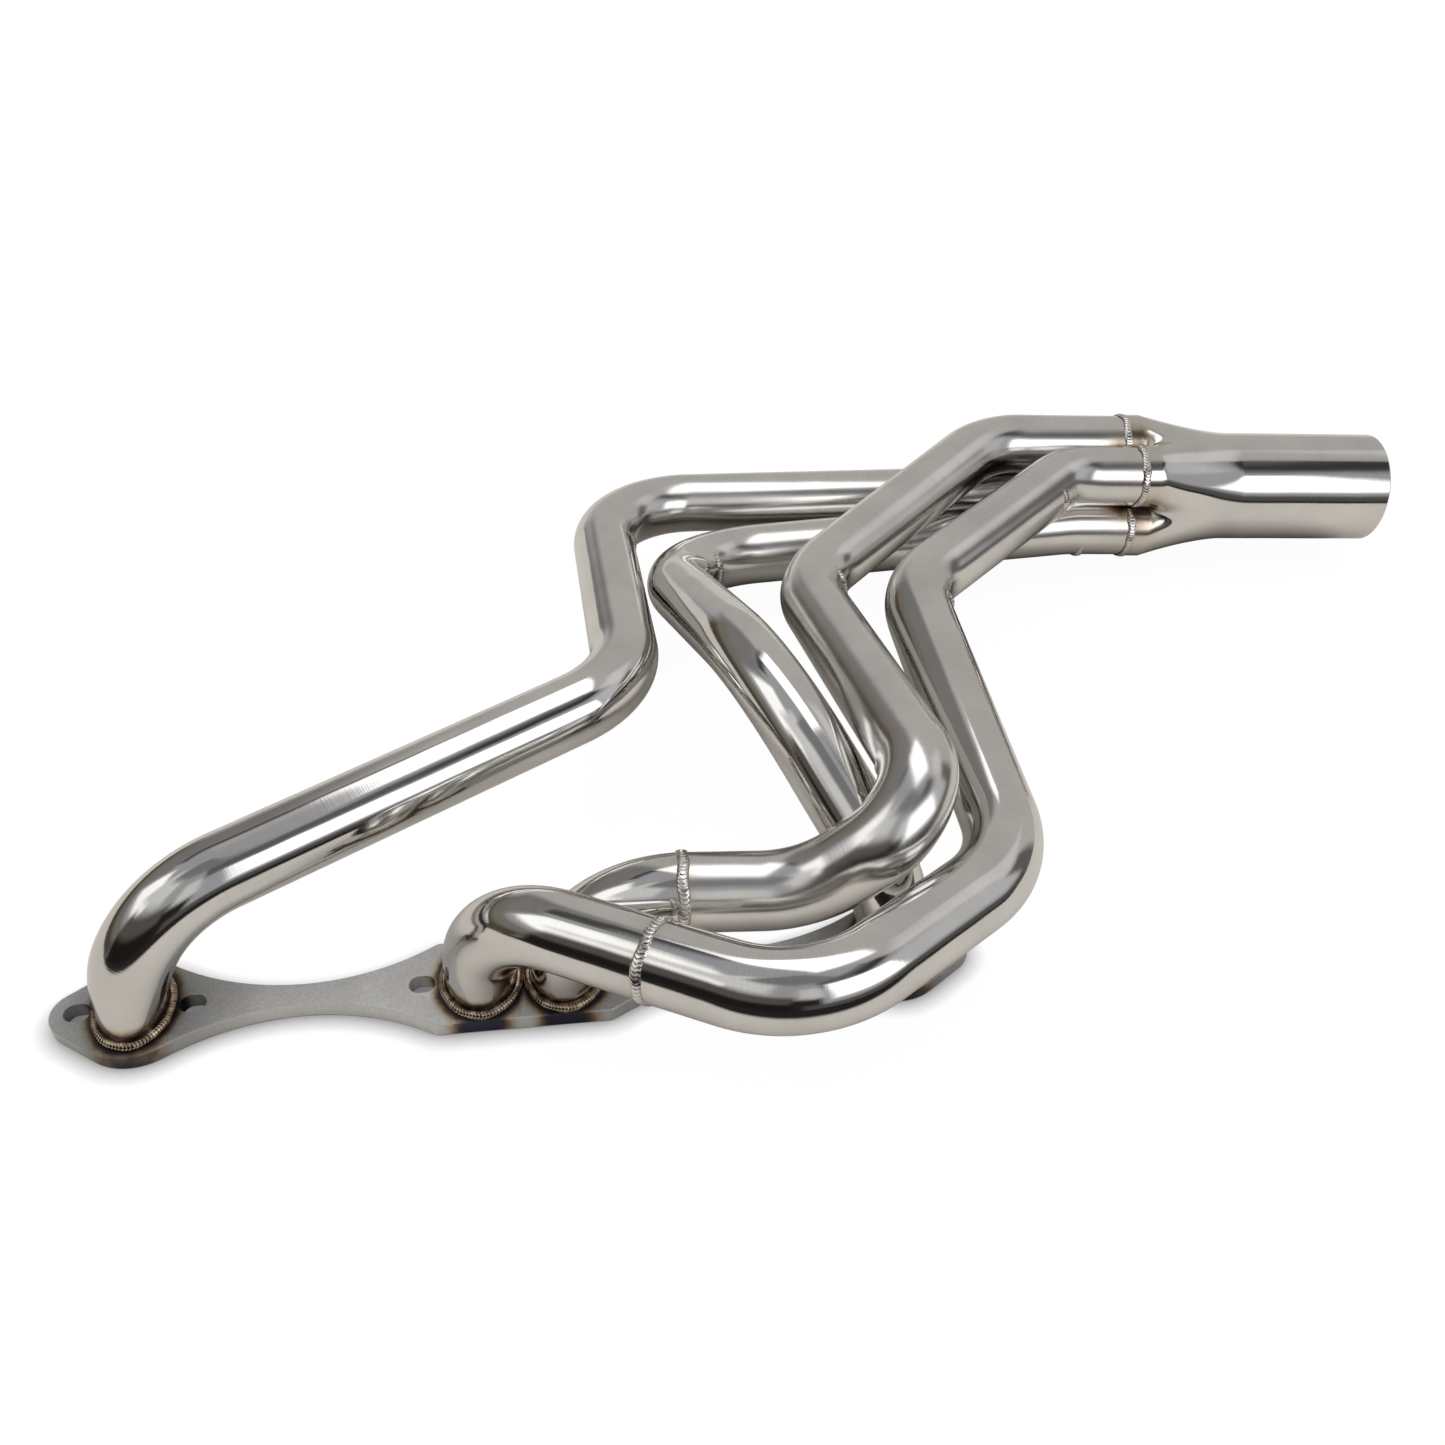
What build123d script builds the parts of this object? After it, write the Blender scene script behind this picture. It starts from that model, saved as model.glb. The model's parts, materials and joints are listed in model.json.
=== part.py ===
from build123d import *
import os
from math import acos, cos, radians, sin

# Long-tube exhaust header for one bank of a small V8: a flange plate, four primary tubes
# made of butt-welded bends, and a four-into-one collector. All sizes are in millimetres.
# The origin is the middle of the flange's head-side face. +Z points out of the cylinder
# head, +X runs along the flange towards the collector outlet and +Y towards the collector.

# --- tube stock ---
TUBE_R = 41.3 / 2           # 1 5/8 in primary tube
OUTLET_R = 76.2 / 2         # 3 in collector outlet
WALL = 1.6                  # 16 gauge stainless
BEND_R = 63.5               # centreline radius of the standard mandrel bend

# --- flange plate ---
PLATE = 9.5                 # thickness
CENTRE_PORT_X = 44.4 / 2    # half the spacing of the two middle ports
END_PORT_X = CENTRE_PORT_X + 179.0
END_BOLT = 29.2             # end bolts, either side of the end port
CENTRE_BOLT = 31.4          # middle bolts, outboard of the middle ports
SLOT_LENGTH = 14.0
SLOT_WIDTH = 11.1
LOBE_R = 31.0               # plate around an end port
NOSE_R = 14.2               # plate around the outermost bolt
CENTRE_HALF_WIDTH = 27.0
CENTRE_CORNER_R = 5.0
NECK_X = 116.0              # the thinnest place of the plate
NECK_HALF_WIDTH = 7.2
EDGE_BREAK = 0.6

# --- flattened tube ends at the ports, as half axes along X and Y ---
END_OVAL = (17.5, 23.4)
CENTRE_OVAL = (18.5, 22.6)
PINCH_LENGTH = 36.0         # the oval becomes round over this length
PINCH_STEPS = 4

# --- welds ---
PORT_WELD = 5.0             # fillet leg
SEAM_HEIGHT = 0.8
DRESSED_HEIGHT = 0.2        # a butt weld that was polished down
RAISED_SEAMS = ("primary_2_seam_weld_1", "primary_3_seam_weld_1")
SEAM_WIDTH = 5.0
INLET_WELD = 3.5

# --- collector ---
COLLECTOR_INLET = Vector(442.0, 359.3, 62.0)    # middle of the four inlets
COLLECTOR_YAW = 1.5         # the axis turns back towards the flange by this many degrees
COLLECTOR_DIP = 2.7         # and sinks towards the head's plane by this many
INLET_OFFSET = 21.0         # an inlet's distance from the axis, along both directions
SOCKET_DEPTH = 12.0
MERGE_LENGTH = 76.0
OUTLET_LENGTH = 110.5
PLUG_THICKNESS = 3.0

# --- primaries: port place and oval, height where the port elbow turns, further turning
# points with their bend radii, the collector inlet as its side along the collector's local
# x and y, the straight lead-in to that inlet, and how far from the plate the butt seams are ---
PRIMARIES = {
    "primary_1": {
        "port_x": -END_PORT_X, "oval": END_OVAL, "rise": 76.0, "rise_radius": BEND_R,
        "turns": [((70, 151, 81), BEND_R), ((62, 389, 47), BEND_R)],
        "inlet": (1, -1), "lead_in": 45.0, "lead_in_radius": 2 * BEND_R, "seams": [515.0],
        "pieces": ["port_run", "collector_leg"],
    },
    "primary_2": {
        "port_x": -CENTRE_PORT_X, "oval": CENTRE_OVAL, "rise": 71.0, "rise_radius": BEND_R,
        "turns": [((135, -100, 97), BEND_R), ((255, -16, 88), BEND_R), ((250, 213, 90), BEND_R)],
        "inlet": (-1, 1), "lead_in": 52.5, "lead_in_radius": 50.0, "seams": [149.0, 575.0, 742.0],
        "pieces": ["port_elbow", "lower_run", "upper_run", "collector_leg"],
    },
    "primary_3": {
        "port_x": CENTRE_PORT_X, "oval": CENTRE_OVAL, "rise": 73.0, "rise_radius": BEND_R,
        "turns": [((150, -7, 70), BEND_R), ((215, -7, 128), 38.0), ((187, 242, 76), BEND_R)],
        "inlet": (1, 1), "lead_in": 101.5, "lead_in_radius": BEND_R, "seams": [101.0, 268.0, 474.0],
        "pieces": ["port_elbow", "tight_bend", "upper_run", "collector_leg"],
    },
    "primary_4": {
        "port_x": END_PORT_X, "oval": END_OVAL, "rise": 54.0, "rise_radius": BEND_R,
        "turns": [((142, 116, 117), 2 * BEND_R), ((97, 330, 36), BEND_R)],
        "inlet": (-1, -1), "lead_in": 42.0, "lead_in_radius": 2 * BEND_R, "seams": [390.0, 676.0],
        "pieces": ["port_run", "upper_run", "collector_leg"],
    },
}


def collector_plane():
    """The inlet plane: local z runs down the collector, x is near +Y and y near +Z."""
    yaw = radians(COLLECTOR_YAW)
    dip = radians(COLLECTOR_DIP)
    axis = Vector(cos(dip) * cos(yaw), -cos(dip) * sin(yaw), -sin(dip))
    sideways = Vector(0, 0, 1).cross(axis).normalized()
    return Plane(origin=COLLECTOR_INLET, x_dir=sideways, z_dir=axis)


COLLECTOR = collector_plane()


# --- flange plate ---

def slot_places():
    end = [END_PORT_X - END_BOLT, END_PORT_X + END_BOLT]
    one_side = [CENTRE_PORT_X + CENTRE_BOLT] + end
    return [(side * x, 0) for side in (-1, 1) for x in one_side]


def port_places():
    return [(spec["port_x"], spec["oval"]) for spec in PRIMARIES.values()]


def end_lobe():
    """The plate around an end port: its lobe and nose, joined by tangent lines."""
    lean = acos((LOBE_R - NOSE_R) / END_BOLT)
    lobe_touch = Vector(cos(lean), sin(lean)) * LOBE_R
    nose_touch = Vector(cos(lean), sin(lean)) * NOSE_R + Vector(END_BOLT, 0)
    upper = [nose_touch, lobe_touch]
    lower = [Vector(point.X, -point.Y) for point in reversed(upper)]
    flanks = Polygon(*lower, *upper, align=None)
    return Circle(LOBE_R) + Pos(END_BOLT, 0) * Circle(NOSE_R) + flanks


def neck_radius():
    """The radius of the scallop that runs tangent into the end lobe."""
    span = END_PORT_X - NECK_X
    square = span ** 2 + NECK_HALF_WIDTH ** 2 - LOBE_R ** 2
    return square / (2 * (LOBE_R - NECK_HALF_WIDTH))


def plate_outline():
    scallop_r = neck_radius()
    scallop_y = NECK_HALF_WIDTH + scallop_r
    touch_x = END_PORT_X - LOBE_R * (END_PORT_X - NECK_X) / (scallop_r + LOBE_R)
    outline = Rectangle(2 * touch_x, 2 * CENTRE_HALF_WIDTH)
    for x in (-NECK_X, NECK_X):
        for y in (-scallop_y, scallop_y):
            outline -= Pos(x, y) * Circle(scallop_r)
    corners = outline.vertices().filter_by(lambda v: abs(v.X) < NECK_X / 2)
    outline = fillet(corners, CENTRE_CORNER_R)
    for side in (0, 180):
        outline += Rot(0, 0, side) * Pos(END_PORT_X, 0) * end_lobe()
    return outline


def flange_plate():
    plate = extrude(plate_outline(), PLATE)
    rims = [plate.faces().sort_by(Axis.Z)[i].outer_wire().edges() for i in (0, -1)]
    plate = chamfer(ShapeList(rims[0] + rims[1]), EDGE_BREAK)
    for x, y in slot_places():
        plate -= Pos(x, y) * extrude(SlotOverall(SLOT_LENGTH, SLOT_WIDTH), PLATE)
    for x, oval in port_places():
        plate -= Pos(x, 0) * extrude(Ellipse(oval[0] - WALL, oval[1] - WALL), PLATE)
    return plate


# --- primary tubes ---

def arc_at(before, corner, after, radius):
    """The bend at a corner: its start point, middle point and end point."""
    back = (before - corner).normalized()
    on = (after - corner).normalized()
    half_turn = radians(180 - back.get_angle(on)) / 2
    reach = radius * sin(half_turn) / cos(half_turn)
    middle_way = (back + on).normalized()
    depth = radius / cos(half_turn) - radius
    return corner + back * reach, corner + middle_way * depth, corner + on * reach


def route(spec):
    """The centreline of a primary, from the flange plate to the end of its socket."""
    side_x, side_y = (INLET_OFFSET * side for side in spec["inlet"])
    corners = [Vector(spec["port_x"], 0, PLATE), Vector(spec["port_x"], 0, spec["rise"])]
    corners += [Vector(*point) for point, _ in spec["turns"]]
    for depth in (-spec["lead_in"], SOCKET_DEPTH):
        corners.append(COLLECTOR.from_local_coords(Vector(side_x, side_y, depth)))
    radii = [spec["rise_radius"]] + [radius for _, radius in spec["turns"]]
    radii.append(spec["lead_in_radius"])
    edges = []
    here = corners[0]
    for i, radius in enumerate(radii, start=1):
        start, middle, end = arc_at(*corners[i - 1:i + 2], radius)
        edges.append(Edge.make_line(here, start))
        edges.append(Edge.make_three_point_arc(start, middle, end))
        here = end
    edges.append(Edge.make_line(here, corners[-1]))
    return Wire(edges)


def stretch(line, start, end):
    """The part of a route between two distances along it."""
    return line.trim(start / line.length, end / line.length)


def cross_plane(line, distance):
    """The plane across a route, with its local y as near to +Y as it can be."""
    along = line.tangent_at(distance / line.length)
    return Plane(
        origin=line.position_at(distance / line.length),
        x_dir=Vector(0, 1, 0).cross(along).normalized(),
        z_dir=along,
    )


def rod(line, radius):
    """A round bar along a stretch of route."""
    return sweep(cross_plane(line, 0) * Circle(radius), path=line)


def pinched_end(line, oval, inset):
    """The port end of a tube as a bar, from its oval to the round section."""
    sections = []
    for step in range(PINCH_STEPS + 1):
        share = step / PINCH_STEPS
        ease = share * share * (3 - 2 * share)
        half = [size + (TUBE_R - size) * ease - inset for size in oval]
        sections.append(cross_plane(line, share * PINCH_LENGTH) * Ellipse(*half))
    return loft(sections)


def port_piece(line, oval, end):
    round_part = stretch(line, PINCH_LENGTH, end)
    outside = pinched_end(line, oval, 0) + rod(round_part, TUBE_R)
    inside = pinched_end(line, oval, WALL) + rod(round_part, TUBE_R - WALL)
    return outside - inside


def plain_piece(line, start, end):
    part = stretch(line, start, end)
    return rod(part, TUBE_R) - rod(part, TUBE_R - WALL)


def seam_bead(line, distance, height):
    """The bead of a butt weld around a tube."""
    part = stretch(line, distance - SEAM_WIDTH / 2, distance + SEAM_WIDTH / 2)
    return rod(part, TUBE_R + height) - rod(part, TUBE_R)


def port_weld(spec, line):
    """The fillet weld between a tube and the plate. The middle two meet halfway."""
    at_port = Pos(spec["port_x"], 0, PLATE)
    wide = [size + PORT_WELD for size in spec["oval"]]
    bead = loft([
        at_port * Ellipse(*wide),
        at_port * Pos(0, 0, PORT_WELD) * Ellipse(spec["oval"][0] + 0.5, spec["oval"][1] + 0.5),
    ])
    bead -= pinched_end(line, spec["oval"], 0)
    if abs(spec["port_x"]) < END_PORT_X:
        side = 1 if spec["port_x"] > 0 else -1
        bead &= Pos(side * LOBE_R, 0, PLATE) * Box(2 * LOBE_R, 4 * LOBE_R, 4 * PORT_WELD)
    return bead


def primary(name, spec):
    line = route(spec)
    stops = spec["seams"] + [line.length]
    nodes = {}
    for i, piece in enumerate(spec["pieces"]):
        if i == 0:
            solid = port_piece(line, spec["oval"], stops[0])
        else:
            solid = plain_piece(line, stops[i - 1], stops[i])
        nodes[f"{name}_{piece}"] = solid
    for i, distance in enumerate(spec["seams"], start=1):
        seam = f"{name}_seam_weld_{i}"
        height = SEAM_HEIGHT if seam in RAISED_SEAMS else DRESSED_HEIGHT
        nodes[seam] = seam_bead(line, distance, height)
    nodes[f"{name}_port_weld"] = port_weld(spec, line)
    return nodes


# --- collector, built on its own inlet plane ---

def inlet_centres():
    return [tuple(INLET_OFFSET * side for side in spec["inlet"]) for spec in PRIMARIES.values()]


def four_way(socket_r, cone_r, outlet_r):
    """Four sockets and the four cones that run together into one round outlet."""
    body = Part()
    for x, y in inlet_centres():
        body += Pos(x, y, 0) * extrude(Circle(socket_r), SOCKET_DEPTH)
        body += loft([
            Pos(x, y, SOCKET_DEPTH) * Circle(cone_r),
            Pos(0, 0, MERGE_LENGTH) * Circle(outlet_r),
        ])
    return body


def collector_merge():
    outside = four_way(TUBE_R + WALL, TUBE_R + WALL, OUTLET_R)
    inside = four_way(TUBE_R, TUBE_R - WALL, OUTLET_R - WALL)
    return COLLECTOR * (outside - inside)


def collector_outlet():
    ring = Circle(OUTLET_R) - Circle(OUTLET_R - WALL)
    return COLLECTOR * (Pos(0, 0, MERGE_LENGTH) * extrude(ring, OUTLET_LENGTH))


def merge_plug():
    """The star-shaped plate that closes the gap between the four sockets."""
    plug = extrude(Rectangle(INLET_OFFSET * 1.4, INLET_OFFSET * 1.4), PLUG_THICKNESS)
    for x, y in inlet_centres():
        plug -= Pos(x, y, 0) * extrude(Circle(TUBE_R + WALL), PLUG_THICKNESS)
    return COLLECTOR * plug


def inlet_weld(sides):
    """The fillet weld at one socket's lip, kept to its own quarter."""
    x, y = (INLET_OFFSET * side for side in sides)
    cone = loft([
        Pos(x, y, -INLET_WELD) * Circle(TUBE_R + 0.4),
        Pos(x, y, 0) * Circle(TUBE_R + WALL),
    ])
    cone -= Pos(x, y, -INLET_WELD) * extrude(Circle(TUBE_R), INLET_WELD)
    reach = 3 * TUBE_R
    quarter = Pos(sides[0] * reach / 2, sides[1] * reach / 2, 0) * Box(reach, reach, reach)
    return COLLECTOR * (cone & quarter)


# --- the whole header ---

def header():
    nodes = {"flange_plate": flange_plate()}
    for name, spec in PRIMARIES.items():
        nodes.update(primary(name, spec))
        number = name.split("_")[1]
        nodes[f"collector_inlet_weld_{number}"] = inlet_weld(spec["inlet"])
    nodes["collector_merge"] = collector_merge()
    nodes["merge_plug"] = merge_plug()
    nodes["collector_outlet"] = collector_outlet()
    return nodes


os.makedirs("parts", exist_ok=True)
for node, shape in header().items():
    export_step(shape, f"parts/{node}.step")
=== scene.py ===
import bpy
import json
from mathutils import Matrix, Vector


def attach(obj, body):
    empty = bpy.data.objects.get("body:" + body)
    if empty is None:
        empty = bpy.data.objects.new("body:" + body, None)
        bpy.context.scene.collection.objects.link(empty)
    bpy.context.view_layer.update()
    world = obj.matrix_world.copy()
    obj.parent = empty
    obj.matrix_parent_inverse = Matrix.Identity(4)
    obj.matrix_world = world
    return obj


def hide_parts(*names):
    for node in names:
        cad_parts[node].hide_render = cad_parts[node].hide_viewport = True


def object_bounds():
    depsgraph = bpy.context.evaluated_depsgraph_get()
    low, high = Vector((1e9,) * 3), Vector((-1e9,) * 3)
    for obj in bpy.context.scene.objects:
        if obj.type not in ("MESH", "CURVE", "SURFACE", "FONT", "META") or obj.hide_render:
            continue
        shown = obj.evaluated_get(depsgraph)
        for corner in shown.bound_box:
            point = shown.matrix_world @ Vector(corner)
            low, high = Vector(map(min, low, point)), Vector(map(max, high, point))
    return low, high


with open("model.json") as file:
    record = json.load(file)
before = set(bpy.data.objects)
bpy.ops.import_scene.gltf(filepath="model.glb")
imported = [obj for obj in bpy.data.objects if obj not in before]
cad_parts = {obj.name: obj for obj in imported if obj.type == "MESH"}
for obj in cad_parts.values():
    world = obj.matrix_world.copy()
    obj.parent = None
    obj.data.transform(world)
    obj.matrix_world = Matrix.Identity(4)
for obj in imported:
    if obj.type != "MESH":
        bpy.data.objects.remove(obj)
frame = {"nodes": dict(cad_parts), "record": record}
CAD_BOX = [list(corner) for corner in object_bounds()]

import json
import math
import random

import bmesh
import bpy
import numpy as np
from mathutils import Euler, Matrix, Vector, noise

random.seed(11)

# Sizes are in metres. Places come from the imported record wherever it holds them.

# --- tube stock ---
TUBE_R = 0.02065
WALL = 0.0016
BEND_R = 0.0635
PLATE = 0.0095
PINCH_LENGTH = 0.036

# --- collector ---
INLET_OFFSET = 0.021
SOCKET_DEPTH = 0.012
LIP = 0.0009                # how far a socket stands proud of its tube
MERGE_LENGTH = 0.076

# --- welds ---
BEAD_WIDTH = 0.0062
BEAD_HEIGHT = 0.0015
RIPPLE = 0.0024             # from one weld ripple to the next
PORT_BEAD = 0.0030          # radius of the roll of weld around a port
PORT_RIPPLE = 0.0016

# --- mesh density ---
RING_STEP = 0.003
ROUND_STEPS = 72
BEAD_STEPS = 11
ROWS_PER_RIPPLE = 8
DENT = 0.00006              # how far the polished skin waves in and out

ROOT = "root"
MOUNTS = {mount["name"]: mount for mount in frame["record"]["mounts"]}
END_PORT_X = MOUNTS["end_bolts_4"]["pos_m"][0]
CENTRE_PORT_X = END_PORT_X - 0.179
OUTLET_R = MOUNTS["collector_slip_joint"]["dims"]["r_mm"] / 1000
OUTLET_LENGTH = MOUNTS["collector_slip_joint"]["dims"]["length_mm"] / 1000

END_OVAL = (0.0175, 0.0234)
CENTRE_OVAL = (0.0185, 0.0226)

RAISED_SEAMS = ("primary_2_seam_weld_1", "primary_3_seam_weld_1")
SATIN_PIECES = ("upper_run", "collector_leg", "tight_bend")

# A primary rises out of its port, turns at each of its corners and runs into its socket.
PRIMARIES = {
    "primary_1": {
        "port_x": -END_PORT_X, "oval": END_OVAL, "rise": 0.076,
        "turns": [((0.070, 0.151, 0.081), BEND_R), ((0.062, 0.389, 0.047), BEND_R)],
        "inlet": (1, -1), "lead_in": 0.045, "lead_in_radius": 2 * BEND_R, "seams": [0.515],
        "pieces": ["port_run", "collector_leg"],
    },
    "primary_2": {
        "port_x": -CENTRE_PORT_X, "oval": CENTRE_OVAL, "rise": 0.071,
        "turns": [((0.135, -0.100, 0.097), BEND_R), ((0.255, -0.016, 0.088), BEND_R),
                  ((0.250, 0.213, 0.090), BEND_R)],
        "inlet": (-1, 1), "lead_in": 0.0525, "lead_in_radius": 0.050, "seams": [0.149, 0.575, 0.742],
        "pieces": ["port_elbow", "lower_run", "upper_run", "collector_leg"],
    },
    "primary_3": {
        "port_x": CENTRE_PORT_X, "oval": CENTRE_OVAL, "rise": 0.073,
        "turns": [((0.150, -0.007, 0.070), BEND_R), ((0.215, -0.007, 0.128), 0.038),
                  ((0.187, 0.242, 0.076), BEND_R)],
        "inlet": (1, 1), "lead_in": 0.1015, "lead_in_radius": BEND_R, "seams": [0.101, 0.268, 0.474],
        "pieces": ["port_elbow", "tight_bend", "upper_run", "collector_leg"],
    },
    "primary_4": {
        "port_x": END_PORT_X, "oval": END_OVAL, "rise": 0.054,
        "turns": [((0.142, 0.116, 0.117), 2 * BEND_R), ((0.097, 0.330, 0.036), BEND_R)],
        "inlet": (-1, -1), "lead_in": 0.042, "lead_in_radius": 2 * BEND_R, "seams": [0.390, 0.676],
        "pieces": ["port_run", "upper_run", "collector_leg"],
    },
}


# --- node helpers ---

def math_node(tree, operation, first, second=0.0):
    """The result of a maths node whose inputs are sockets or numbers."""
    node = tree.nodes.new("ShaderNodeMath")
    node.operation = operation
    for socket, value in zip(node.inputs, (first, second)):
        if isinstance(value, (int, float)):
            socket.default_value = value
        else:
            tree.links.new(value, socket)
    return node.outputs[0]


def ramp(tree, value, stops):
    """The colour of a value on a list of (position, colour) stops."""
    node = tree.nodes.new("ShaderNodeValToRGB")
    elements = node.color_ramp.elements
    while len(elements) < len(stops):
        elements.new(0.5)
    for element, (position, colour) in zip(elements, stops):
        element.position = position
        element.color = (*colour, 1)
    tree.links.new(value, node.inputs["Fac"])
    return node.outputs["Color"]


def grey_ramp(tree, value, stops):
    """As ramp, for grey levels."""
    return ramp(tree, value, [(position, (level,) * 3) for position, level in stops])


def noise_value(tree, vector, scale, detail=3.0, stretch=None):
    """Noise over a vector socket, stretched by a scale for each axis."""
    if stretch:
        mapping = tree.nodes.new("ShaderNodeMapping")
        mapping.inputs["Scale"].default_value = stretch
        tree.links.new(vector, mapping.inputs["Vector"])
        vector = mapping.outputs["Vector"]
    node = tree.nodes.new("ShaderNodeTexNoise")
    node.inputs["Scale"].default_value = scale
    node.inputs["Detail"].default_value = detail
    tree.links.new(vector, node.inputs["Vector"])
    return node.outputs["Fac"]


def mix(tree, share, first, second, blend="MIX"):
    """Two colours mixed by a share; each may be a socket or a colour."""
    node = tree.nodes.new("ShaderNodeMix")
    node.data_type = "RGBA"
    node.blend_type = blend
    for socket, value in ((node.inputs[0], share), (node.inputs[6], first), (node.inputs[7], second)):
        if isinstance(value, (int, float)):
            socket.default_value = value
        elif isinstance(value, tuple):
            socket.default_value = (*value, 1)
        else:
            tree.links.new(value, socket)
    return node.outputs[2]


def attribute(tree, name):
    node = tree.nodes.new("ShaderNodeAttribute")
    node.attribute_name = name
    return node


def position(tree):
    return tree.nodes.new("ShaderNodeNewGeometry").outputs["Position"]


def bump(tree, height, depth, normal=None):
    node = tree.nodes.new("ShaderNodeBump")
    node.inputs["Distance"].default_value = depth
    tree.links.new(height, node.inputs["Height"])
    if normal:
        tree.links.new(normal, node.inputs["Normal"])
    return node.outputs["Normal"]


def new_material(name, metallic=1.0):
    """A material's node tree and its main shader."""
    material = bpy.data.materials.new(name)
    material.use_nodes = True
    shader = material.node_tree.nodes["Principled BSDF"]
    shader.inputs["Metallic"].default_value = metallic
    return material, material.node_tree, shader


def plug(tree, shader, **sockets):
    """Links sockets into the shader's inputs; an underscore in a name stands for a space."""
    for name, socket in sockets.items():
        tree.links.new(socket, shader.inputs[name.replace("_", " ")])


# --- materials ---

HEAT_STOPS = [
    (0.0, (1.0, 1.0, 1.0)),
    (0.30, (0.92, 0.87, 0.78)),
    (0.55, (0.64, 0.53, 0.42)),
    (0.75, (0.33, 0.26, 0.22)),
    (1.0, (0.12, 0.10, 0.10)),
]


def polished_steel(name, dullness):
    """Polished tube: faint belt lines run round it, with cloudy patches and heat tint by its welds."""
    material, tree, shader = new_material(name)
    skin = attribute(tree, "skin").outputs["Vector"]
    where = position(tree)
    cloud = noise_value(tree, where, 28, 4)
    lines = noise_value(tree, skin, 1.0, 3, stretch=(1400, 26, 26))
    tone = mix(tree, grey_ramp(tree, cloud, [(0.35, 0.0), (0.7, 1.0)]), (0.79, 0.775, 0.75), (0.70, 0.685, 0.67))
    tone = mix(tree, 0.10, tone, lines, "MULTIPLY")
    heat = attribute(tree, "tint").outputs["Fac"]
    patchy = math_node(tree, "MULTIPLY", heat, math_node(tree, "ADD", 0.55, noise_value(tree, where, 90, 3)))
    tone = mix(tree, 1.0, tone, ramp(tree, patchy, HEAT_STOPS), "MULTIPLY")
    rough = math_node(tree, "MULTIPLY_ADD", cloud, 0.10)
    rough.node.inputs[2].default_value = dullness
    rough = math_node(tree, "ADD", rough, math_node(tree, "MULTIPLY", patchy, 0.22))
    plug(tree, shader, Base_Color=tone, Roughness=rough, Normal=bump(tree, lines, 0.000012),
         Tangent=attribute(tree, "round").outputs["Vector"])
    shader.inputs["Anisotropic"].default_value = 0.35
    return material


def weld_metal(name, tint):
    """Bright rippled weld: silver crowns, tinted between the ripples."""
    material, tree, shader = new_material(name)
    where = position(tree)
    crown = attribute(tree, "crown").outputs["Fac"]
    colour = ramp(tree, crown, [(0.0, tint[0]), (0.45, tint[1]), (0.9, tint[2])])
    patches = noise_value(tree, where, 160, 3)
    colour = mix(tree, grey_ramp(tree, patches, [(0.46, 0.0), (0.66, 0.7)]), colour, tint[2])
    fine = noise_value(tree, where, 1500, 3)
    rough = grey_ramp(tree, patches, [(0.3, 0.12), (0.7, 0.28)])
    plug(tree, shader, Base_Color=colour, Roughness=rough, Normal=bump(tree, fine, 0.00003))
    return material


def oval_distance(tree, where, centre_x, oval):
    """Roughly how far a point is, seen from above, outside an oval round a port."""
    shift = tree.nodes.new("ShaderNodeVectorMath")
    shift.operation = "SUBTRACT"
    tree.links.new(where, shift.inputs[0])
    shift.inputs[1].default_value = (centre_x, 0, 0)
    flat = tree.nodes.new("ShaderNodeVectorMath")
    flat.operation = "MULTIPLY"
    tree.links.new(shift.outputs[0], flat.inputs[0])
    flat.inputs[1].default_value = (1 / oval[0], 1 / oval[1], 0)
    length = tree.nodes.new("ShaderNodeVectorMath")
    length.operation = "LENGTH"
    tree.links.new(flat.outputs[0], length.inputs[0])
    beyond = math_node(tree, "SUBTRACT", length.outputs["Value"], 1.0)
    return math_node(tree, "MULTIPLY", beyond, (oval[0] + oval[1]) / 2)


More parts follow.
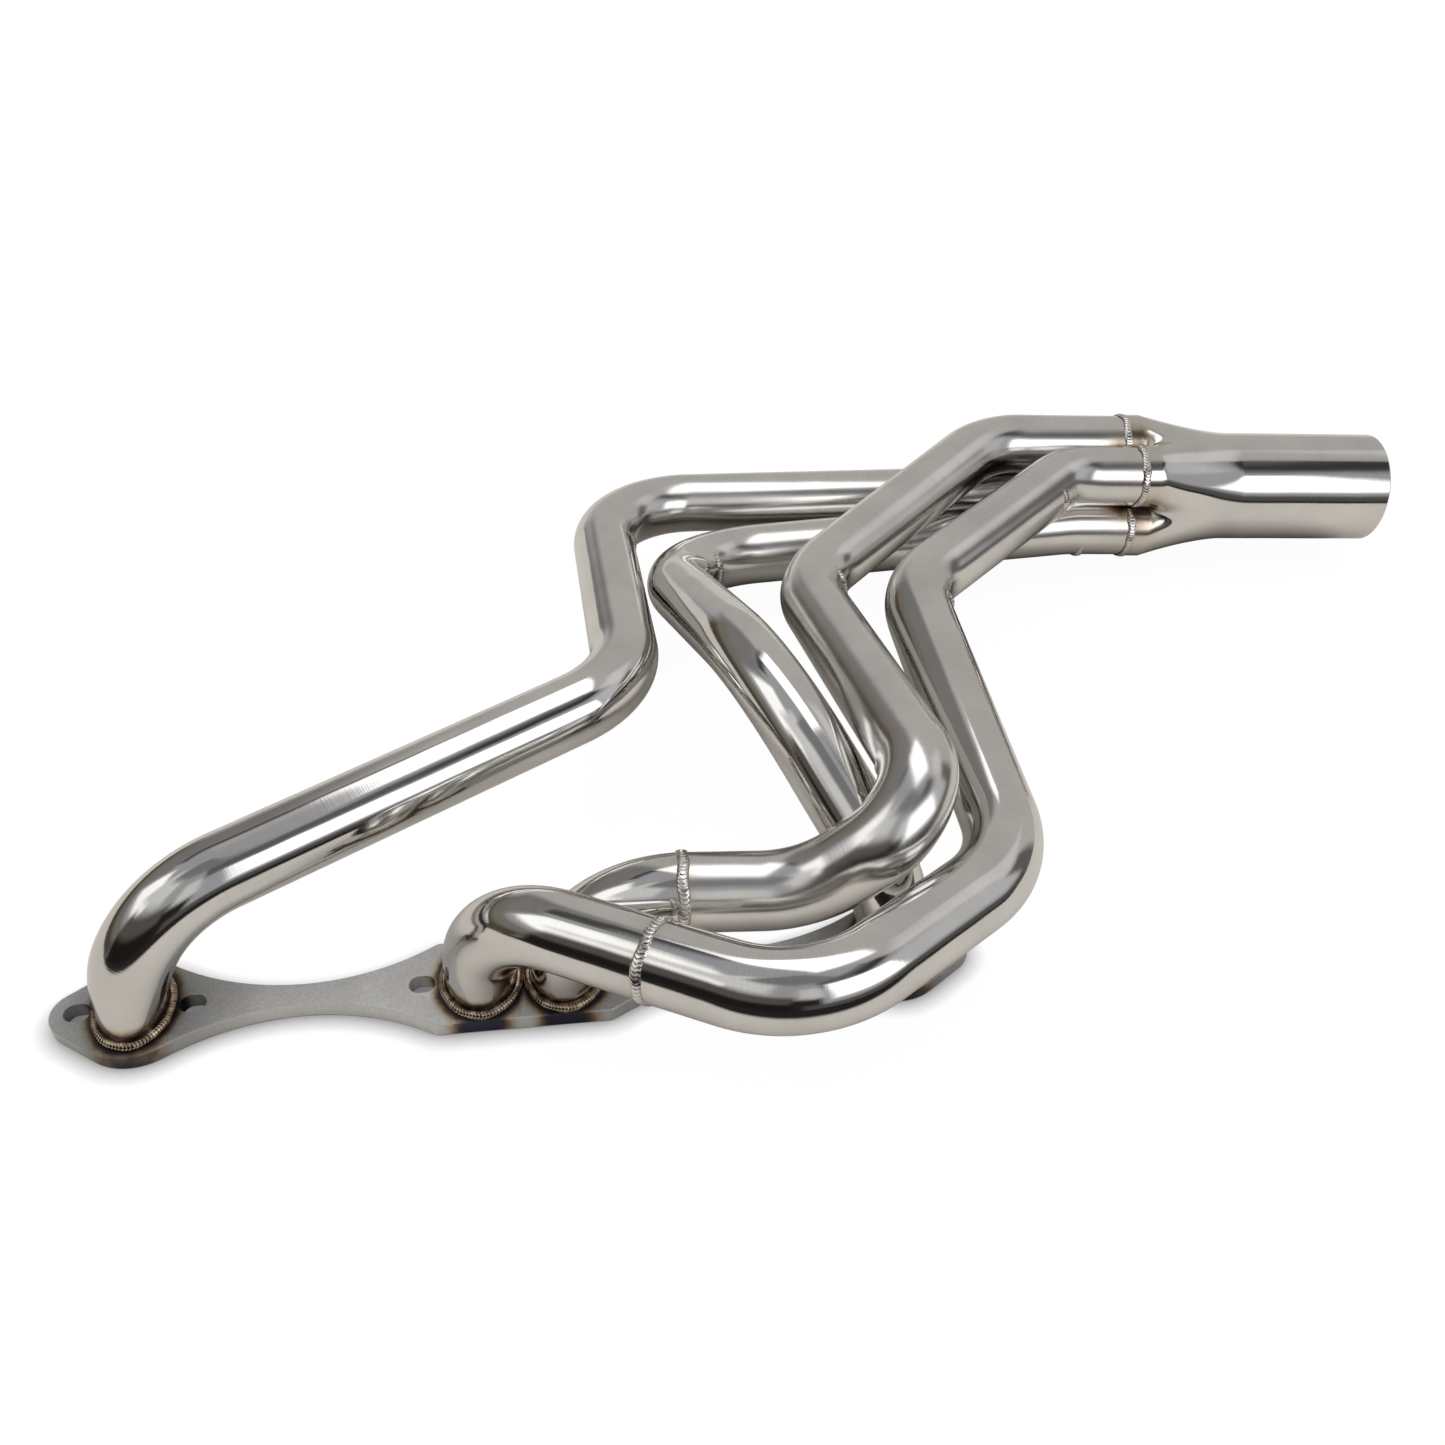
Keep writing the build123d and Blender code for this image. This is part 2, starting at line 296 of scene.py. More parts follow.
def blasted_plate(name):
    """Bead blasted plate with a fine grain, saw-cut edges lightened partly by painted sheen, and heat tint round
    the welded ports.
    """
    material, tree, shader = new_material(name, metallic=0.35)
    where = position(tree)
    grain = noise_value(tree, where, 900, 4)
    stains = noise_value(tree, where, 40, 4)
    tone = ramp(tree, grain, [(0.3, (0.44, 0.435, 0.425)), (0.7, (0.60, 0.595, 0.585))])
    tone = mix(tree, grey_ramp(tree, stains, [(0.4, 0.0), (0.75, 0.5)]), tone, (0.36, 0.355, 0.345))
    upward = tree.nodes.new("ShaderNodeSeparateXYZ")
    tree.links.new(tree.nodes.new("ShaderNodeNewGeometry").outputs["Normal"], upward.inputs[0])
    side = math_node(tree, "SUBTRACT", 1.0, math_node(tree, "ABSOLUTE", upward.outputs["Z"]))
    saw_lines = noise_value(tree, where, 1.0, 3, stretch=(700, 700, 60))
    # The side faces get a lighter colour than the blasted top: partly the saw-cut finish, partly painted sheen.
    edge_tone_and_sheen = ramp(tree, saw_lines, [(0.3, (0.70, 0.695, 0.685)), (0.7, (0.76, 0.755, 0.745))])
    tone = mix(tree, side, tone, edge_tone_and_sheen)
    gaps = []
    for spec in PRIMARIES.values():
        oval = [size + 0.0042 for size in spec["oval"]]
        gaps.append(oval_distance(tree, where, spec["port_x"], oval))
    ends = math_node(tree, "MINIMUM", gaps[0], gaps[3])
    nearest = math_node(tree, "MINIMUM", ends, math_node(tree, "MINIMUM", gaps[1], gaps[2]))
    wobble = math_node(tree, "MULTIPLY", math_node(tree, "SUBTRACT", noise_value(tree, where, 120, 3), 0.5), 0.004)
    reach = math_node(tree, "DIVIDE", math_node(tree, "ADD", nearest, wobble), 0.009)
    reach = math_node(tree, "SUBTRACT", reach, math_node(tree, "MULTIPLY", side, 0.22))
    heat = ramp(tree, reach, [
        (0.0, (0.03, 0.03, 0.06)),
        (0.10, (0.07, 0.055, 0.07)),
        (0.24, (0.34, 0.22, 0.13)),
        (0.42, (0.78, 0.68, 0.52)),
        (0.70, (1.0, 1.0, 1.0)),
    ])
    tone = mix(tree, 1.0, tone, heat, "MULTIPLY")
    # Darker close to the two end ports, fading out over 50 mm.
    darker_by_end_ports = grey_ramp(tree, math_node(tree, "DIVIDE", ends, 0.05), [(0.0, 0.50), (1.0, 1.0)])
    tone = mix(tree, 1.0, tone, darker_by_end_ports, "MULTIPLY")
    rough = math_node(tree, "SUBTRACT", 0.52, math_node(tree, "MULTIPLY", side, 0.14))
    pits = mix(tree, side, grain, saw_lines)
    plug(tree, shader, Base_Color=tone, Roughness=rough, Normal=bump(tree, pits, 0.00006))
    return material


def pale_floor(name):
    """White paper that glows for the camera, its glow dimmed by a painted contact shadow close to the header. The
    steel mirrors it with painted shade, darker close under the tubes, and with a painted dark room beyond the
    table's front edge.
    """
    material, tree, shader = new_material(name, metallic=0.0)
    where = position(tree)
    fibre = noise_value(tree, where, 300, 3)
    seen = ramp(tree, fibre, [(0.3, (0.055, 0.055, 0.055)), (0.7, (0.065, 0.065, 0.065))])
    camera_ray = tree.nodes.new("ShaderNodeLightPath").outputs["Is Camera Ray"]
    # Painted contact shadow: the glow the camera sees is dimmed wherever the AO finds geometry within 12 mm.
    contact = tree.nodes.new("ShaderNodeAmbientOcclusion")
    reach = math_node(tree, "SUBTRACT", 0.10, math_node(tree, "MULTIPLY", camera_ray, 0.088))
    tree.links.new(reach, contact.inputs["Distance"])
    open_sky = contact.outputs["AO"]
    glow = math_node(tree, "POWER", open_sky, 1.5)
    glow = math_node(tree, "MULTIPLY", math_node(tree, "MULTIPLY", camera_ray, 0.96), glow)
    # Painted shade: the floor as the steel mirrors it is darkened by the AO within 100 mm, nearly black close
    # under the tubes.
    mirrored_with_painted_shade = ramp(tree, open_sky, [
        (0.12, (0.06, 0.05, 0.04)),
        (0.45, (0.40, 0.375, 0.34)),
        (0.85, (0.70, 0.67, 0.62)),
    ])
    # Painted reflection of the dark room: for the steel's mirror only, the floor fades to nearly black beyond the
    # table's front edge.
    parts = tree.nodes.new("ShaderNodeSeparateXYZ")
    tree.links.new(where, parts.inputs[0])
    on_table = soft_edge(tree, math_node(tree, "SUBTRACT", TABLE_FRONT, parts.outputs["Y"]), 0.12)
    mirrored_with_painted_shade = mix(tree, 1.0, mirrored_with_painted_shade, grey_ramp(tree, on_table, [(0.0, 0.03), (1.0, 1.0)]), "MULTIPLY")
    plug(tree, shader, Base_Color=mix(tree, camera_ray, mirrored_with_painted_shade, seen), Emission_Strength=glow)
    shader.inputs["Emission Color"].default_value = (1, 1, 1, 1)
    shader.inputs["Roughness"].default_value = 0.9
    shader.inputs["Specular IOR Level"].default_value = 0.0
    return material


# --- mesh helpers ---

def grid_faces(rows, columns, close_rows, close_columns):
    """The quads of a grid of points that may be closed either way."""
    faces = []
    for i in range(rows if close_rows else rows - 1):
        for j in range(columns if close_columns else columns - 1):
            i2 = (i + 1) % rows
            j2 = (j + 1) % columns
            faces.append((i * columns + j, i * columns + j2, i2 * columns + j2, i2 * columns + j))
    return faces


def face_outward(mesh):
    """Turns every face of a closed mesh outward."""
    shape = bmesh.new()
    shape.from_mesh(mesh)
    bmesh.ops.recalc_face_normals(shape, faces=shape.faces)
    shape.to_mesh(mesh)
    shape.free()


def new_piece(name, points, faces, material, slot, stands_for, **attributes):
    """A closed, smooth mesh piece that stands for a CAD node; attributes hold a value for each point."""
    mesh = bpy.data.meshes.new(name)
    mesh.from_pydata([tuple(point) for point in points], [], faces)
    face_outward(mesh)
    for key, values in attributes.items():
        values = np.asarray(values, np.float32)
        kind = "FLOAT" if values.ndim == 1 else "FLOAT_VECTOR"
        layer = mesh.attributes.new(key, kind, "POINT")
        layer.data.foreach_set("value" if values.ndim == 1 else "vector", values.ravel())
    mesh.shade_smooth()
    mesh.set_sharp_from_angle(angle=math.radians(50))
    mesh.materials.append(material)
    piece = bpy.data.objects.new(name, mesh)
    bpy.context.scene.collection.objects.link(piece)
    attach(piece, ROOT)
    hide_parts(stands_for)
    return piece


# --- tube routes ---

class Route:
    """A tube's centreline: straight legs joined by round bends."""

    def __init__(self, corners, radii):
        self.legs = []
        self.length = 0.0
        here = corners[0]
        for before, corner, after, radius in zip(corners, corners[1:], corners[2:], radii):
            back = (before - corner).normalized()
            on = (after - corner).normalized()
            turn = math.pi - back.angle(on)
            start = corner + back * radius * math.tan(turn / 2)
            centre = corner + (back + on).normalized() * radius / math.cos(turn / 2)
            self.add_straight(here, start)
            self.add_bend(start, centre, -back, on, turn, radius)
            here = corner + on * radius * math.tan(turn / 2)
        self.add_straight(here, corners[-1])

    def add_straight(self, start, end):
        along = (end - start).normalized()
        self.legs.append((self.length, lambda s: (start + along * s, along)))
        self.length += (end - start).length

    def add_bend(self, start, centre, entry, leave, turn, radius):
        axis = entry.cross(leave).normalized()

        def place(s):
            swing = Matrix.Rotation(s / radius, 3, axis)
            return centre + swing @ (start - centre), swing @ entry

        self.legs.append((self.length, place))
        self.length += turn * radius

    def at(self, distance):
        """The point and direction at a distance along the route."""
        begin, place = [leg for leg in self.legs if leg[0] <= distance + 1e-9][-1]
        return place(distance - begin)


def collector_frame():
    """The collector's inlet plane as a matrix: its z runs down the outlet, x is near +Y and y near +Z."""
    joint = MOUNTS["collector_slip_joint"]
    axis = Vector(joint["axis"]).normalized()
    inlet = Vector(joint["pos_m"]) - axis * (MERGE_LENGTH + OUTLET_LENGTH / 2)
    side_x = Vector((0, 0, 1)).cross(axis).normalized()
    side_y = axis.cross(side_x)
    return Matrix.Translation(inlet) @ Matrix((side_x, side_y, axis)).transposed().to_4x4()


COLLECTOR = collector_frame()


def primary_route(spec):
    foot = Vector((spec["port_x"], 0, PLATE))
    corners = [foot, Vector((spec["port_x"], 0, spec["rise"]))]
    corners += [Vector(point) for point, _ in spec["turns"]]
    side_x, side_y = (INLET_OFFSET * side for side in spec["inlet"])
    for depth in (-spec["lead_in"], SOCKET_DEPTH):
        corners.append(COLLECTOR @ Vector((side_x, side_y, depth)))
    radii = [BEND_R] + [radius for _, radius in spec["turns"]] + [spec["lead_in_radius"]]
    return Route(corners, radii)


def stations(route, stops):
    """Close-set frames down a route, which fall on every stop: (distance, point, along, side, up)."""
    distances = []
    edges = [0.0] + stops + [route.length]
    for start, end in zip(edges, edges[1:]):
        count = math.ceil((end - start) / RING_STEP)
        distances += [start + (end - start) * i / count for i in range(count)]
    distances.append(route.length)
    frames = []
    side = Vector((1, 0, 0))
    for distance in distances:
        point, along = route.at(distance)
        side = (side - along * side.dot(along)).normalized()
        frames.append((distance, point, along, side, along.cross(side)))
    return frames


def round_angles(steps):
    return [2 * math.pi * j / steps for j in range(steps)]


def half_sizes(spec, distance):
    """Half the tube's width both ways: an oval at the port that eases into the round tube."""
    share = min(distance / PINCH_LENGTH, 1.0)
    ease = share * share * (3 - 2 * share)
    return [size + (TUBE_R - size) * ease for size in spec["oval"]]


def heat_at(distance, seams):
    """How much heat tint a tube shows at its port, and less at its raised seams."""
    heat = min(1.0, max(0.0, 1.0 - (distance - 0.0055) / 0.0065))
    for seam in seams:
        heat = max(heat, 0.30 * max(0.0, 1.0 - abs(distance - seam) / 0.007))
    return heat


def soot_at(left, point, along, out):
    """The brown tint by the collector, mostly on the side of a tube that faces its neighbours."""
    inward = COLLECTOR.translation - point
    inward -= along * inward.dot(along)
    facing = min(1.0, max(0.0, out.normalized().dot(inward.normalized()) + 0.30))
    near = max(0.0, 1.0 - abs(left - SOCKET_DEPTH) / 0.024)
    return (0.1 + 0.9 * facing) * min(1.0, 1.6 * near)


def tube_piece(name, frames, spec, length, raised, material):
    """One length of tube with its bore, as a closed wall."""
    points, skin, heat, around = [], [], [], []
    rows = [(row, 0.0) for row in frames] + [(row, WALL) for row in reversed(frames)]
    for (distance, point, along, side, up), inset in rows:
        half = half_sizes(spec, distance)
        for angle in round_angles(ROUND_STEPS):
            cos, sin = math.cos(angle), math.sin(angle)
            spot = Vector((cos * TUBE_R, sin * TUBE_R, distance)) * 55
            wave = 0.0 if inset else DENT * noise.noise(spot)
            out = side * cos * (half[0] - inset + wave) + up * sin * (half[1] - inset + wave)
            points.append(point + out)
            skin.append((distance, cos * TUBE_R, sin * TUBE_R))
            soot = soot_at(length - distance, point, along, out)
            heat.append(max(heat_at(distance, raised), soot))
            around.append(tuple(along.cross(out.normalized())))
    faces = grid_faces(len(rows), ROUND_STEPS, True, True)
    return new_piece(name + "_skin", points, faces, material, "polished_tube", name,
                     skin=skin, tint=heat, round=around)


# --- weld beads ---

def bead(name, loop, closed, width, height, pitch, relief, wobble, material, slot):
    """A rippled bead along a loop of (point, out, across): each ripple is a curved scale over the last."""
    points, crown = [], []
    count = len(loop)
    total = sum((loop[i][0] - loop[i - 1][0]).length for i in range(1, count))
    sizes = [random.uniform(0.75, 1.2) for _ in range(int(total / pitch) + 4)]
    travelled = 0.0
    for i, (point, out, across) in enumerate(loop):
        if i:
            travelled += (point - loop[i - 1][0]).length
        end_fade = 1.0 if closed else min(1.0, 5.0 * min(i, count - 1 - i) / count + 0.1)
        drift = wobble * width * noise.noise(Vector((travelled * 90, 3.0, 7.0)))
        swell = 1 + 2 * wobble * noise.noise(Vector((travelled * 150, 13.0, 2.0)))
        for j in range(BEAD_STEPS):
            x = -1 + 2 * j / (BEAD_STEPS - 1)
            phase = travelled / pitch + 1.0 - 0.9 * (1 - x * x)
            share = phase % 1.0
            scale = 1 - relief * (1 - math.sqrt(share)) * sizes[int(phase)]
            dome = max(0.0, 1 - x * x) ** 0.5
            points.append(point + across * (x * width / 2 * swell + drift)
                          + out * (height * dome * scale * swell * end_fade))
            crown.append(share * dome)
        for x in (0.6, -0.6):
            points.append(point + across * (x * width / 2) - out * height * 0.4)
            crown.append(0.0)
    columns = BEAD_STEPS + 2
    faces = grid_faces(count, columns, closed, True)
    if not closed:
        faces.append(tuple(range(columns)))
        faces.append(tuple((count - 1) * columns + j for j in range(columns)))
    return new_piece(name + "_bead", points, faces, material, slot, name, crown=crown)


def bead_rows(length, pitch):
    """How many rows a bead needs, in whole ripples."""
    return max(2, round(length / pitch)) * ROWS_PER_RIPPLE


def seam_bead(name, frame_at, material):
    _, point, along, side, up = frame_at
    loop = []
    for angle in round_angles(bead_rows(2 * math.pi * TUBE_R, RIPPLE)):
        out = side * math.cos(angle) + up * math.sin(angle)
        loop.append((point + out * (TUBE_R - 0.0001), out, along))
    return bead(name, loop, True, BEAD_WIDTH, BEAD_HEIGHT, RIPPLE, 0.5, 0.16, material, "weld_bead")


def dressed_seam(name, route, frame_at, material):
    """A butt weld polished flush, but for the inside of the bend that the belt couldn't reach."""
    distance, point, along, _, _ = frame_at
    inward = route.at(distance + BEND_R / 2)[1] - route.at(distance - BEND_R / 2)[1]
    inward = (inward - along * inward.dot(along)).normalized()
    beside = along.cross(inward)
    reach = math.radians(38)
    steps = bead_rows(2 * reach * TUBE_R, RIPPLE)
    loop = []
    for i in range(steps + 1):
        angle = reach * (2 * i / steps - 1)
        out = inward * math.cos(angle) + beside * math.sin(angle)
        loop.append((point + out * (TUBE_R - 0.0001), out, along))
    return bead(name, loop, False, 0.8 * BEAD_WIDTH, BEAD_HEIGHT, RIPPLE, 0.5, 0.16, material, "weld_bead")


def port_bead(name, spec, material):
    """The roll of weld in the corner between a port's oval and the plate."""
    half = [size + 0.0012 for size in spec["oval"]]
    loop = []
    for angle in round_angles(bead_rows(math.pi * sum(half), PORT_RIPPLE)):
        cos, sin = math.cos(angle), math.sin(angle)
        point = Vector((spec["port_x"] + half[0] * cos, half[1] * sin, PLATE + 0.0012))
        level = Vector((cos / half[0], sin / half[1], 0)).normalized()
        out = (level + Vector((0, 0, 0.9))).normalized()
        across = out.cross(Vector((-level.y, level.x, 0)))
        loop.append((point, out, across))
    return bead(name, loop, True, 2 * PORT_BEAD, PORT_BEAD, PORT_RIPPLE, 0.13, 0.07, material,
                "port_weld_bead")


def inlet_bead(name, spec, material):
    """The weld round the outside of one socket's lip, stopping where it meets its neighbours."""
    side_x, side_y = spec["inlet"]
    middle = math.atan2(side_y, side_x)
    reach = math.radians(116)
    radius = TUBE_R + 0.0004
    steps = bead_rows(2 * reach * radius, RIPPLE)
    loop = []
    for i in range(steps + 1):
        angle = middle + reach * (2 * i / steps - 1)
        out = Vector((math.cos(angle), math.sin(angle), 0))
        point = Vector((side_x * INLET_OFFSET, side_y * INLET_OFFSET, -0.0006)) + out * radius
        turn = COLLECTOR.to_3x3()
        loop.append((COLLECTOR @ point, turn @ out, turn @ Vector((0, 0, 1))))
    return bead(name, loop, False, 0.0056, 0.0012, RIPPLE, 0.5, 0.2, material, "weld_bead")


# --- collector ---

def merge_outline(share, inset):
    """The merge's outline seen down its axis, as a radius for each angle: four lobes that fade to a circle."""
    steps = 2 * ROUND_STEPS
    angles = np.arange(steps) * 2 * math.pi / steps
    off_lobe = (angles % (math.pi / 2)) - math.pi / 4
    ease = 1 - (1 - share) ** 1.5
    centre = INLET_OFFSET * math.sqrt(2) * (1 - ease)
    lobe = (TUBE_R + LIP) * (1 - ease) + OUTLET_R * ease
    outline = centre * np.cos(off_lobe) + np.sqrt(lobe ** 2 - (centre * np.sin(off_lobe)) ** 2)
    smoothing = 0.12 + 0.75 * min(share * 1.6, 1.0)
    waves = np.fft.rfft(outline)
    waves *= np.exp(-(np.maximum(np.arange(len(waves)) - 4, 0) * smoothing / 4) ** 2)
    return angles, np.fft.irfft(waves, steps) - inset


def collector_shell(name, rings, material, slot_name, heat_from):
    """A closed shell down the collector's axis from (depth, share, inset) rings."""
    points, skin, heat, around = [], [], [], []
    turn = COLLECTOR.to_3x3()
    for depth, share, inset in rings:
        angles, outline = merge_outline(share, inset)
        for angle, radius in zip(angles, outline):
            cos, sin = math.cos(angle), math.sin(angle)
            spot = Vector((cos * OUTLET_R, sin * OUTLET_R, depth)) * 40
            wave = DENT * noise.noise(spot) if inset < WALL / 2 else 0.0
            points.append(COLLECTOR @ Vector((cos * (radius + wave), sin * (radius + wave), depth)))
            skin.append((depth, cos * radius, sin * radius))
            valley = abs((angle % (math.pi / 2)) * 4 / math.pi - 1)
            near = max(0.0, 1 - depth / heat_from)
            heat.append((0.1 + 0.9 * valley ** 2) * min(1.0, 1.6 * near))
            around.append(tuple(turn @ Vector((-sin, cos, 0))))
    faces = grid_faces(len(rings), 2 * ROUND_STEPS, True, True)
    return new_piece(name + "_skin", points, faces, material, slot_name, name,
                     skin=skin, tint=heat, round=around)


def merge_rings():
    rings = [(-0.0002 + SOCKET_DEPTH * i / 5, 0.0) for i in range(5)]
    span = MERGE_LENGTH - SOCKET_DEPTH
    rings += [(SOCKET_DEPTH + span * i / 28, i / 28) for i in range(29)]
    return [(d, s, 0.0) for d, s in rings] + [(d, s, WALL) for d, s in reversed(rings)]


def outlet_rings():
    """The outlet, whose cut rim has had its burr taken off."""
    start, end = MERGE_LENGTH, MERGE_LENGTH + OUTLET_LENGTH
    outer = [start + OUTLET_LENGTH * i / 36 for i in range(36)] + [end - 0.0006, end - 0.0002]
    rings = [(d, 1.0, 0.0) for d in outer]
    rings += [(end, 1.0, 0.0002), (end, 1.0, WALL - 0.0002)]
    return rings + [(d, 1.0, WALL) for d in reversed(outer)]


# --- the studio ---

# The surroundings as the polished skin mirrors them. Each patch is (compass, height, half width,
# half height) in degrees, with its light. Compass 0 is behind the camera, 90 is to the right.
SURROUNDINGS = [
    ((148, 22, 52, 48), 14, (0.50, 0.485, 0.465)),     # pale wall behind
    ((-140, 30, 25, 19), 12, (0.22, 0.217, 0.21)),     # grey wall at the back left
    ((-150, 53, 24, 4), 6, (0.07, 0.07, 0.07)),        # top of that wall
    ((-113, 11, 41, 10), 9, (0.20, 0.185, 0.16)),      # brown wall at the left
    ((-111, 2, 37, 7), 7, (0.085, 0.07, 0.05)),        # its skirting
    ((-84, 43, 26, 14), 8, (1.35, 1.35, 1.33)),        # softbox to the left
    ((-54, 56, 28, 15), 12, (0.72, 0.72, 0.71)),       # its glow on the ceiling
    ((-10, 77, 56, 13), 10, (0.22, 0.22, 0.23)),       # ceiling in front
    ((-35, 20, 38, 14), 10, (0.10, 0.092, 0.082)),     # dark room in front
    ((-34, 2, 38, 14), 8, (0.014, 0.013, 0.012)),      # its floor
    ((3, 11, 10, 13), 6, (0.02, 0.018, 0.016)),        # camera stand
    ((6, 40, 9, 12), 9, (0.68, 0.68, 0.66)),           # lit wall over the stand
    ((51, 57, 35, 8), 8, (0.13, 0.127, 0.125)),        # gap between the softboxes
    ((72, 55, 17, 4), 5, (0.05, 0.048, 0.046)),        # the frame of the overhead softbox
    ((80, 28, 14, 14), 10, (0.57, 0.57, 0.58)),        # pale screen at the right
    ((110, 42, 16, 10), 10, (0.70, 0.70, 0.69)),       # its brighter end
    ((102, 14, 8, 15), 7, (0.13, 0.127, 0.12)),        # stand at the right
    ((49, 0, 47, 9), 7, (0.09, 0.086, 0.08)),          # skirting at the right
]
BASE_LIGHT = (0.40, 0.40, 0.42)

# Each softbox: its middle, where its face looks, how far it is spun, its width and height, and how
# bright its face is.
SOFTBOXES = {
    "overhead": ((0.25, 0.60, 1.40), (0, 0, -1), -60, 1.35, 0.68, 1.4),
    "front_right": ((0.86, -0.62, 0.745), (-0.34, 0.94, -0.12), 0, 1.08, 0.86, 1.5),
}
SOFTBOX_RIM = 0.13          # the share of a softbox's face over which its edge fades
TABLE_FRONT = -0.33


def soft_edge(tree, beyond, soft):
    """1 inside an edge and 0 beyond it, fading over its soft rim."""
    ease = tree.nodes.new("ShaderNodeMapRange")
    ease.interpolation_type = "SMOOTHSTEP"
    ease.inputs["From Min"].default_value = soft / 2
    ease.inputs["From Max"].default_value = -soft / 2
    tree.links.new(beyond, ease.inputs["Value"])
    return ease.outputs["Result"]


def outside(tree, value, middle, half):
    """How far a value lies outside a span."""
    apart = math_node(tree, "ABSOLUTE", math_node(tree, "SUBTRACT", value, middle))
    return math_node(tree, "SUBTRACT", apart, half)


def patch_mask(tree, compass, height, place, soft):
    """1 inside a patch of the surroundings, fading to 0 over its soft rim."""
    middle, level, half_width, half_height = place
    turned = math_node(tree, "MODULO", math_node(tree, "ADD", compass, 540 - middle), 360)
    beside = outside(tree, turned, 180, half_width)
    above = outside(tree, height, level, half_height)
    return soft_edge(tree, math_node(tree, "MAXIMUM", beside, above), soft)


def studio_world():
    world = bpy.data.worlds.new("studio")
    world.use_nodes = True
    tree = world.node_tree
    direction = tree.nodes.new("ShaderNodeTexCoord").outputs["Generated"]
    parts = tree.nodes.new("ShaderNodeSeparateXYZ")
    tree.links.new(direction, parts.inputs[0])
    x, y, z = parts.outputs
    compass = math_node(tree, "ARCTAN2", x, math_node(tree, "MULTIPLY", y, -1.0))
    compass = math_node(tree, "MULTIPLY", compass, 180 / math.pi)
    height = math_node(tree, "MULTIPLY", math_node(tree, "ARCSINE", z), 180 / math.pi)
    light = BASE_LIGHT
    for place, soft, colour in SURROUNDINGS:
        light = mix(tree, patch_mask(tree, compass, height, place, soft), light, colour)
    camera_ray = tree.nodes.new("ShaderNodeLightPath").outputs["Is Camera Ray"]
    light = mix(tree, camera_ray, light, (0.9, 0.9, 0.9))
    tree.links.new(light, tree.nodes["Background"].inputs["Color"])
    bpy.context.scene.world = world


def floor(material):
    corners = [(-4.0, -4.0, 0), (4.5, -4.0, 0), (4.5, 6.0, 0), (-4.0, 6.0, 0)]
    mesh = bpy.data.meshes.new("table")
    mesh.from_pydata(corners, [], [(0, 1, 2, 3)])
    mesh.materials.append(material)
    table = bpy.data.objects.new("table", mesh)
    table.location.z = min(0.0, CAD_BOX[0][2]) - 0.0002
    bpy.context.scene.collection.objects.link(table)


def softbox(name, place, facing, spin, width, height, brightness):
    """A softbox that fades at its rim; it shows in the steel but casts no shadow on the table."""
    data = bpy.data.lights.new(name, "AREA")
    data.shape = "RECTANGLE"
    data.size = width
    data.size_y = height
    data.energy = brightness * math.pi * width * height
    data.use_nodes = True
    tree = data.node_tree
    face = tree.nodes.new("ShaderNodeSeparateXYZ")
    tree.links.new(tree.nodes.new("ShaderNodeNewGeometry").outputs["Parametric"], face.inputs[0])
    beyond = [outside(tree, face.outputs[axis], 0.5, 0.5 - SOFTBOX_RIM / 2) for axis in "XY"]
    glow = soft_edge(tree, math_node(tree, "MAXIMUM", *beyond), SOFTBOX_RIM)
    tree.links.new(glow, tree.nodes["Emission"].inputs["Strength"])
    lamp = bpy.data.objects.new(name, data)
    lamp.location = place
    turn = Vector(facing).to_track_quat("-Z", "Y").to_matrix() @ Matrix.Rotation(math.radians(spin), 3, "Z")
    lamp.rotation_euler = turn.to_euler()
    lamp.visible_camera = False
    lamp.visible_diffuse = False
    bpy.context.scene.collection.objects.link(lamp)


def soft_light():
    """Even light from a large ceiling panel; it is too wide and dim to show in the tubes."""
    data = bpy.data.lights.new("ceiling", "SUN")
    data.energy = 1.75
    data.angle = math.radians(100)
    ceiling = bpy.data.objects.new("ceiling", data)
    ceiling.visible_glossy = False
    bpy.context.scene.collection.objects.link(ceiling)


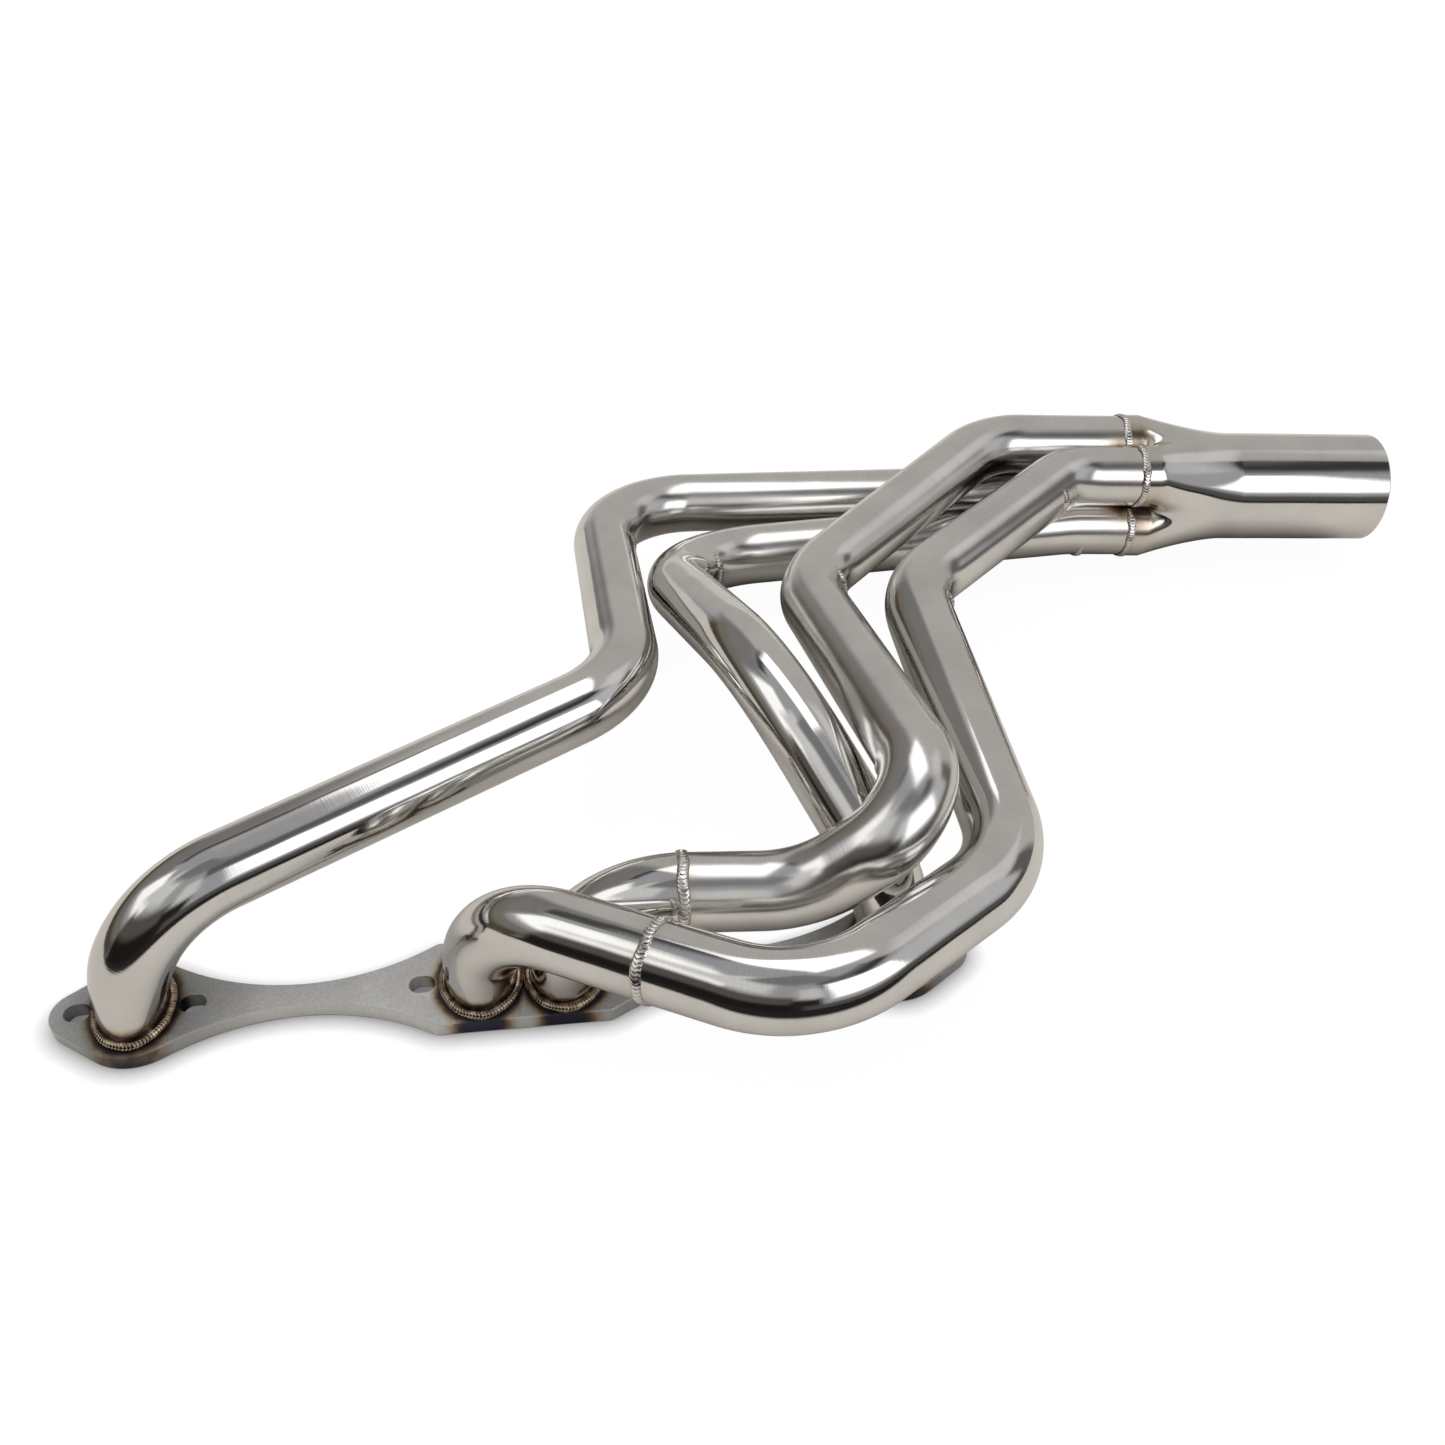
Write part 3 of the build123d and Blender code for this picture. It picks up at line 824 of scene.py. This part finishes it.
def camera():
    data = bpy.data.cameras.new("camera")
    data.lens = 35.41
    data.sensor_width = 36.0
    eye = bpy.data.objects.new("camera", data)
    eye.location = (0.0360, -0.4791, 0.6265)
    eye.rotation_euler = Euler([math.radians(angle) for angle in (47.58, -1.25, -6.91)])
    bpy.context.scene.collection.objects.link(eye)
    bpy.context.scene.camera = eye


# --- the whole header ---

def dress_primary(name, spec, steels, weld, port_weld):
    route = primary_route(spec)
    frames = stations(route, spec["seams"])
    cuts = [0] + [i for i, row in enumerate(frames) if row[0] in spec["seams"]] + [len(frames) - 1]
    seams = {f"{name}_seam_weld_{i}": cut for i, cut in enumerate(cuts[1:-1], start=1)}
    raised = [frames[cut][0] for seam, cut in seams.items() if seam in RAISED_SEAMS]
    for piece, start, end in zip(spec["pieces"], cuts, cuts[1:]):
        steel = steels[piece in SATIN_PIECES]
        tube_piece(f"{name}_{piece}", frames[start:end + 1], spec, route.length, raised, steel)
    for seam, cut in seams.items():
        if seam in RAISED_SEAMS:
            seam_bead(seam, frames[cut], weld)
        else:
            dressed_seam(seam, route, frames[cut], weld)
    port_bead(f"{name}_port_weld", spec, port_weld)
    inlet_bead(f"collector_inlet_weld_{name[-1]}", spec, weld)


def repaint(node, material):
    mesh = frame["nodes"][node].data
    mesh.materials.clear()
    mesh.materials.append(material)


def main():
    bright = polished_steel("bright_steel", 0.03)
    satin = polished_steel("satin_steel", 0.13)
    weld = weld_metal("seam_weld", [(0.30, 0.27, 0.24), (0.66, 0.63, 0.60), (0.90, 0.89, 0.87)])
    port_weld = weld_metal("port_weld", [(0.05, 0.036, 0.03), (0.22, 0.14, 0.085), (0.70, 0.60, 0.47)])
    for name, spec in PRIMARIES.items():
        dress_primary(name, spec, (bright, satin), weld, port_weld)
    collector_shell("collector_merge", merge_rings(), bright, "polished_collector", 0.022)
    collector_shell("collector_outlet", outlet_rings(), bright, "polished_collector", 0.001)
    repaint("flange_plate", blasted_plate("blasted_plate"))
    repaint("merge_plug", weld)
    studio_world()
    soft_light()
    for name, settings in SOFTBOXES.items():
        softbox(name, *settings)
    floor(pale_floor("white_paper"))
    camera()
    bpy.context.scene.view_settings.view_transform = "Standard"


main()

bpy.context.view_layer.update()
